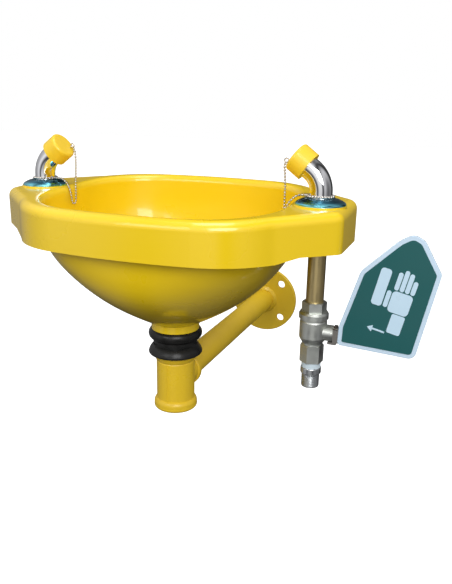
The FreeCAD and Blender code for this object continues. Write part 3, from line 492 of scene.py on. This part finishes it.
# ---- push plate ------------------------------------------------------------------------
# A stout board with a pale enamelled edge, a green field and a white pictogram of an open
# hand beside a pad, printed in slightly raised enamel.
board_enamel = coloured_finish(
    "board_enamel", (0.60, 0.74, 0.88), (0.55, 0.70, 0.84), 0.3, 40, 800, 0.05, 0.3)
field_green = coloured_finish(
    "field_green", (0.006, 0.095, 0.095), (0.005, 0.085, 0.086), 0.42, 20, 800, 0.05)
symbol_white = coloured_finish(
    "symbol_white", (0.56, 0.74, 0.87), (0.52, 0.70, 0.84), 0.35, 40, 800, 0.05, 0.2)
# The board's side faces are painted dark grey: painted shade along its edges.
edge_painted_shade = coloured_finish("edge_painted_shade", (0.22, 0.24, 0.25), (0.16, 0.17, 0.18), 0.4, 40, 800, 0.1)
board_corners = [
    ((0.2195, 0.0865), 0.004), ((0.2203, 0.1102), 0.012), ((0.2404, 0.1780), 0.014),
    ((0.2802, 0.2170), 0.050), ((0.2945, 0.2245), 0.012), ((0.3065, 0.2180), 0.012),
    ((0.3270, 0.1825), 0.007), ((0.3075, 0.0820), 0.009),
]
smallest_corner, corner_steps, most_of_side = 0.0015, 8, 0.48


def rounded_outline(corners, inset):
    """Outline with each corner rounded to its own radius, moved inwards by an inset."""
    count = len(corners)
    places = [Vector(place) for place, _ in corners]
    middle = sum(places, Vector((0, 0))) / count
    moved = []
    for k in range(count):
        before = (places[k] - places[k - 1]).normalized()
        after = (places[(k + 1) % count] - places[k]).normalized()
        in_before = Vector((before.y, -before.x))
        in_after = Vector((after.y, -after.x))
        if in_before.dot(middle - places[k]) < 0:
            in_before, in_after = -in_before, -in_after
        bend = (in_before + in_after).normalized()
        moved.append(places[k] + bend * (inset / bend.dot(in_before)))
    outline = []
    for k in range(count):
        radius = max(corners[k][1] - inset, smallest_corner)
        before = (moved[k - 1] - moved[k]).normalized()
        after = (moved[(k + 1) % count] - moved[k]).normalized()
        half = before.angle(after) / 2
        shorter_side = min((moved[k - 1] - moved[k]).length, (moved[(k + 1) % count] - moved[k]).length)
        room = shorter_side * most_of_side
        reach = min(radius / math.tan(half), room)
        radius = reach * math.tan(half)
        centre = moved[k] + (before + after).normalized() * (radius / math.sin(half))
        start, end = moved[k] + before * reach - centre, moved[k] + after * reach - centre
        for step in range(corner_steps + 1):
            way = start.normalized() * (corner_steps - step) + end.normalized() * step
            outline.append(centre + way.normalized() * radius)
    return outline


def flat_board(name, rings, body, replaced):
    """Solid board through rings of (outline, depth) from its front to its back."""
    build = bmesh.new()
    loops = [[build.verts.new((p.x, depth, p.y)) for p in outline] for outline, depth in rings]
    build.faces.new(loops[0])
    build.faces.new(list(reversed(loops[-1])))
    for here, after in zip(loops, loops[1:]):
        for k in range(len(here)):
            beside = (k + 1) % len(here)
            build.faces.new((here[k], here[beside], after[beside], after[k]))
    bmesh.ops.recalc_face_normals(build, faces=build.faces)
    piece = finished_piece(name, build)
    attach(piece, body)
    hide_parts(replaced)
    return piece


board_front, board_back, board_edge_round, field_front, border = -0.4140, -0.4110, 0.0004, -0.4145, 0.0050
board = flat_board(
    "rounded_board",
    [(rounded_outline(board_corners, 0.0006), board_front),
     (rounded_outline(board_corners, 0.0), board_front + board_edge_round),
     (rounded_outline(board_corners, 0.0), board_back - board_edge_round),
     (rounded_outline(board_corners, 0.0004), board_back)],
    "push_handle", "push_plate")
board.data.materials.append(board_enamel)
# Faces turned forward get the enamel, and all side faces get the dark painted shade.
board.data.materials.append(edge_painted_shade)
for face in board.data.polygons:
    faces_forward = face.normal.y < -0.3
    face.material_index = 0 if faces_forward else 1
field = flat_board(
    "green_field",
    [(rounded_outline(board_corners, border), field_front),
     (rounded_outline(board_corners, border), board_front)],
    "push_handle", "plate_face")
field.data.materials.append(field_green)
symbol_middle, symbol_lean = Vector((0.280, 0.145)), math.radians(13)
symbol_front, symbol_thick = -0.4149, 0.0004
symbol_across = Vector((math.cos(symbol_lean), -math.sin(symbol_lean)))
symbol_along = Vector((math.sin(symbol_lean), math.cos(symbol_lean)))


def on_board(across, along):
    """Place on the board from millimetres across and along its own leaning middle line."""
    return symbol_middle + symbol_across * (across / 1000) + symbol_along * (along / 1000)


# An open hand drawn as a stencil beside an upright pad, with an arrow below: each bar is
# its middle across and along, its width, its height and the radius of its corners.
symbol_bars = {
    "pad": (-19, 14, 12, 44, 3.5), "palm": (6, 2, 23, 25, 4.5), "wrist": (9, -23, 15, 23, 2.0),
    "thumb": (-9, 3, 5, 20, 2.5), "first finger": (-3, 26, 5, 21, 2.5),
    "middle finger": (3, 28, 5, 25, 2.5), "ring finger": (9, 27, 5, 23, 2.5),
    "little finger": (15, 23.5, 5, 16, 2.5),
}
arrow = ((-20, -36), (-14, -32), (-14, -35), (0, -35), (0, -37), (-14, -37), (-14, -40))
outlines = [[on_board(*spot) for spot in arrow]]
for across, along, wide, tall, corner in symbol_bars.values():
    outlines.append(rounded_outline(
        [(on_board(across + wide / 2 * right, along + tall / 2 * up), corner / 1000)
         for right, up in ((-1, -1), (-1, 1), (1, 1), (1, -1))], 0.0))
build = bmesh.new()
for outline in outlines:
    face = build.faces.new([build.verts.new((spot.x, symbol_front, spot.y)) for spot in outline])
    grown = bmesh.ops.extrude_face_region(build, geom=[face])
    bmesh.ops.translate(
        build, verts=[v for v in grown["geom"] if isinstance(v, bmesh.types.BMVert)], vec=(0, symbol_thick, 0))
bmesh.ops.recalc_face_normals(build, faces=build.faces)
hand_symbol = finished_piece("hand_symbol", build)
hand_symbol.data.materials.append(symbol_white)
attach(hand_symbol, "push_handle")
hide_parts("plate_symbol")
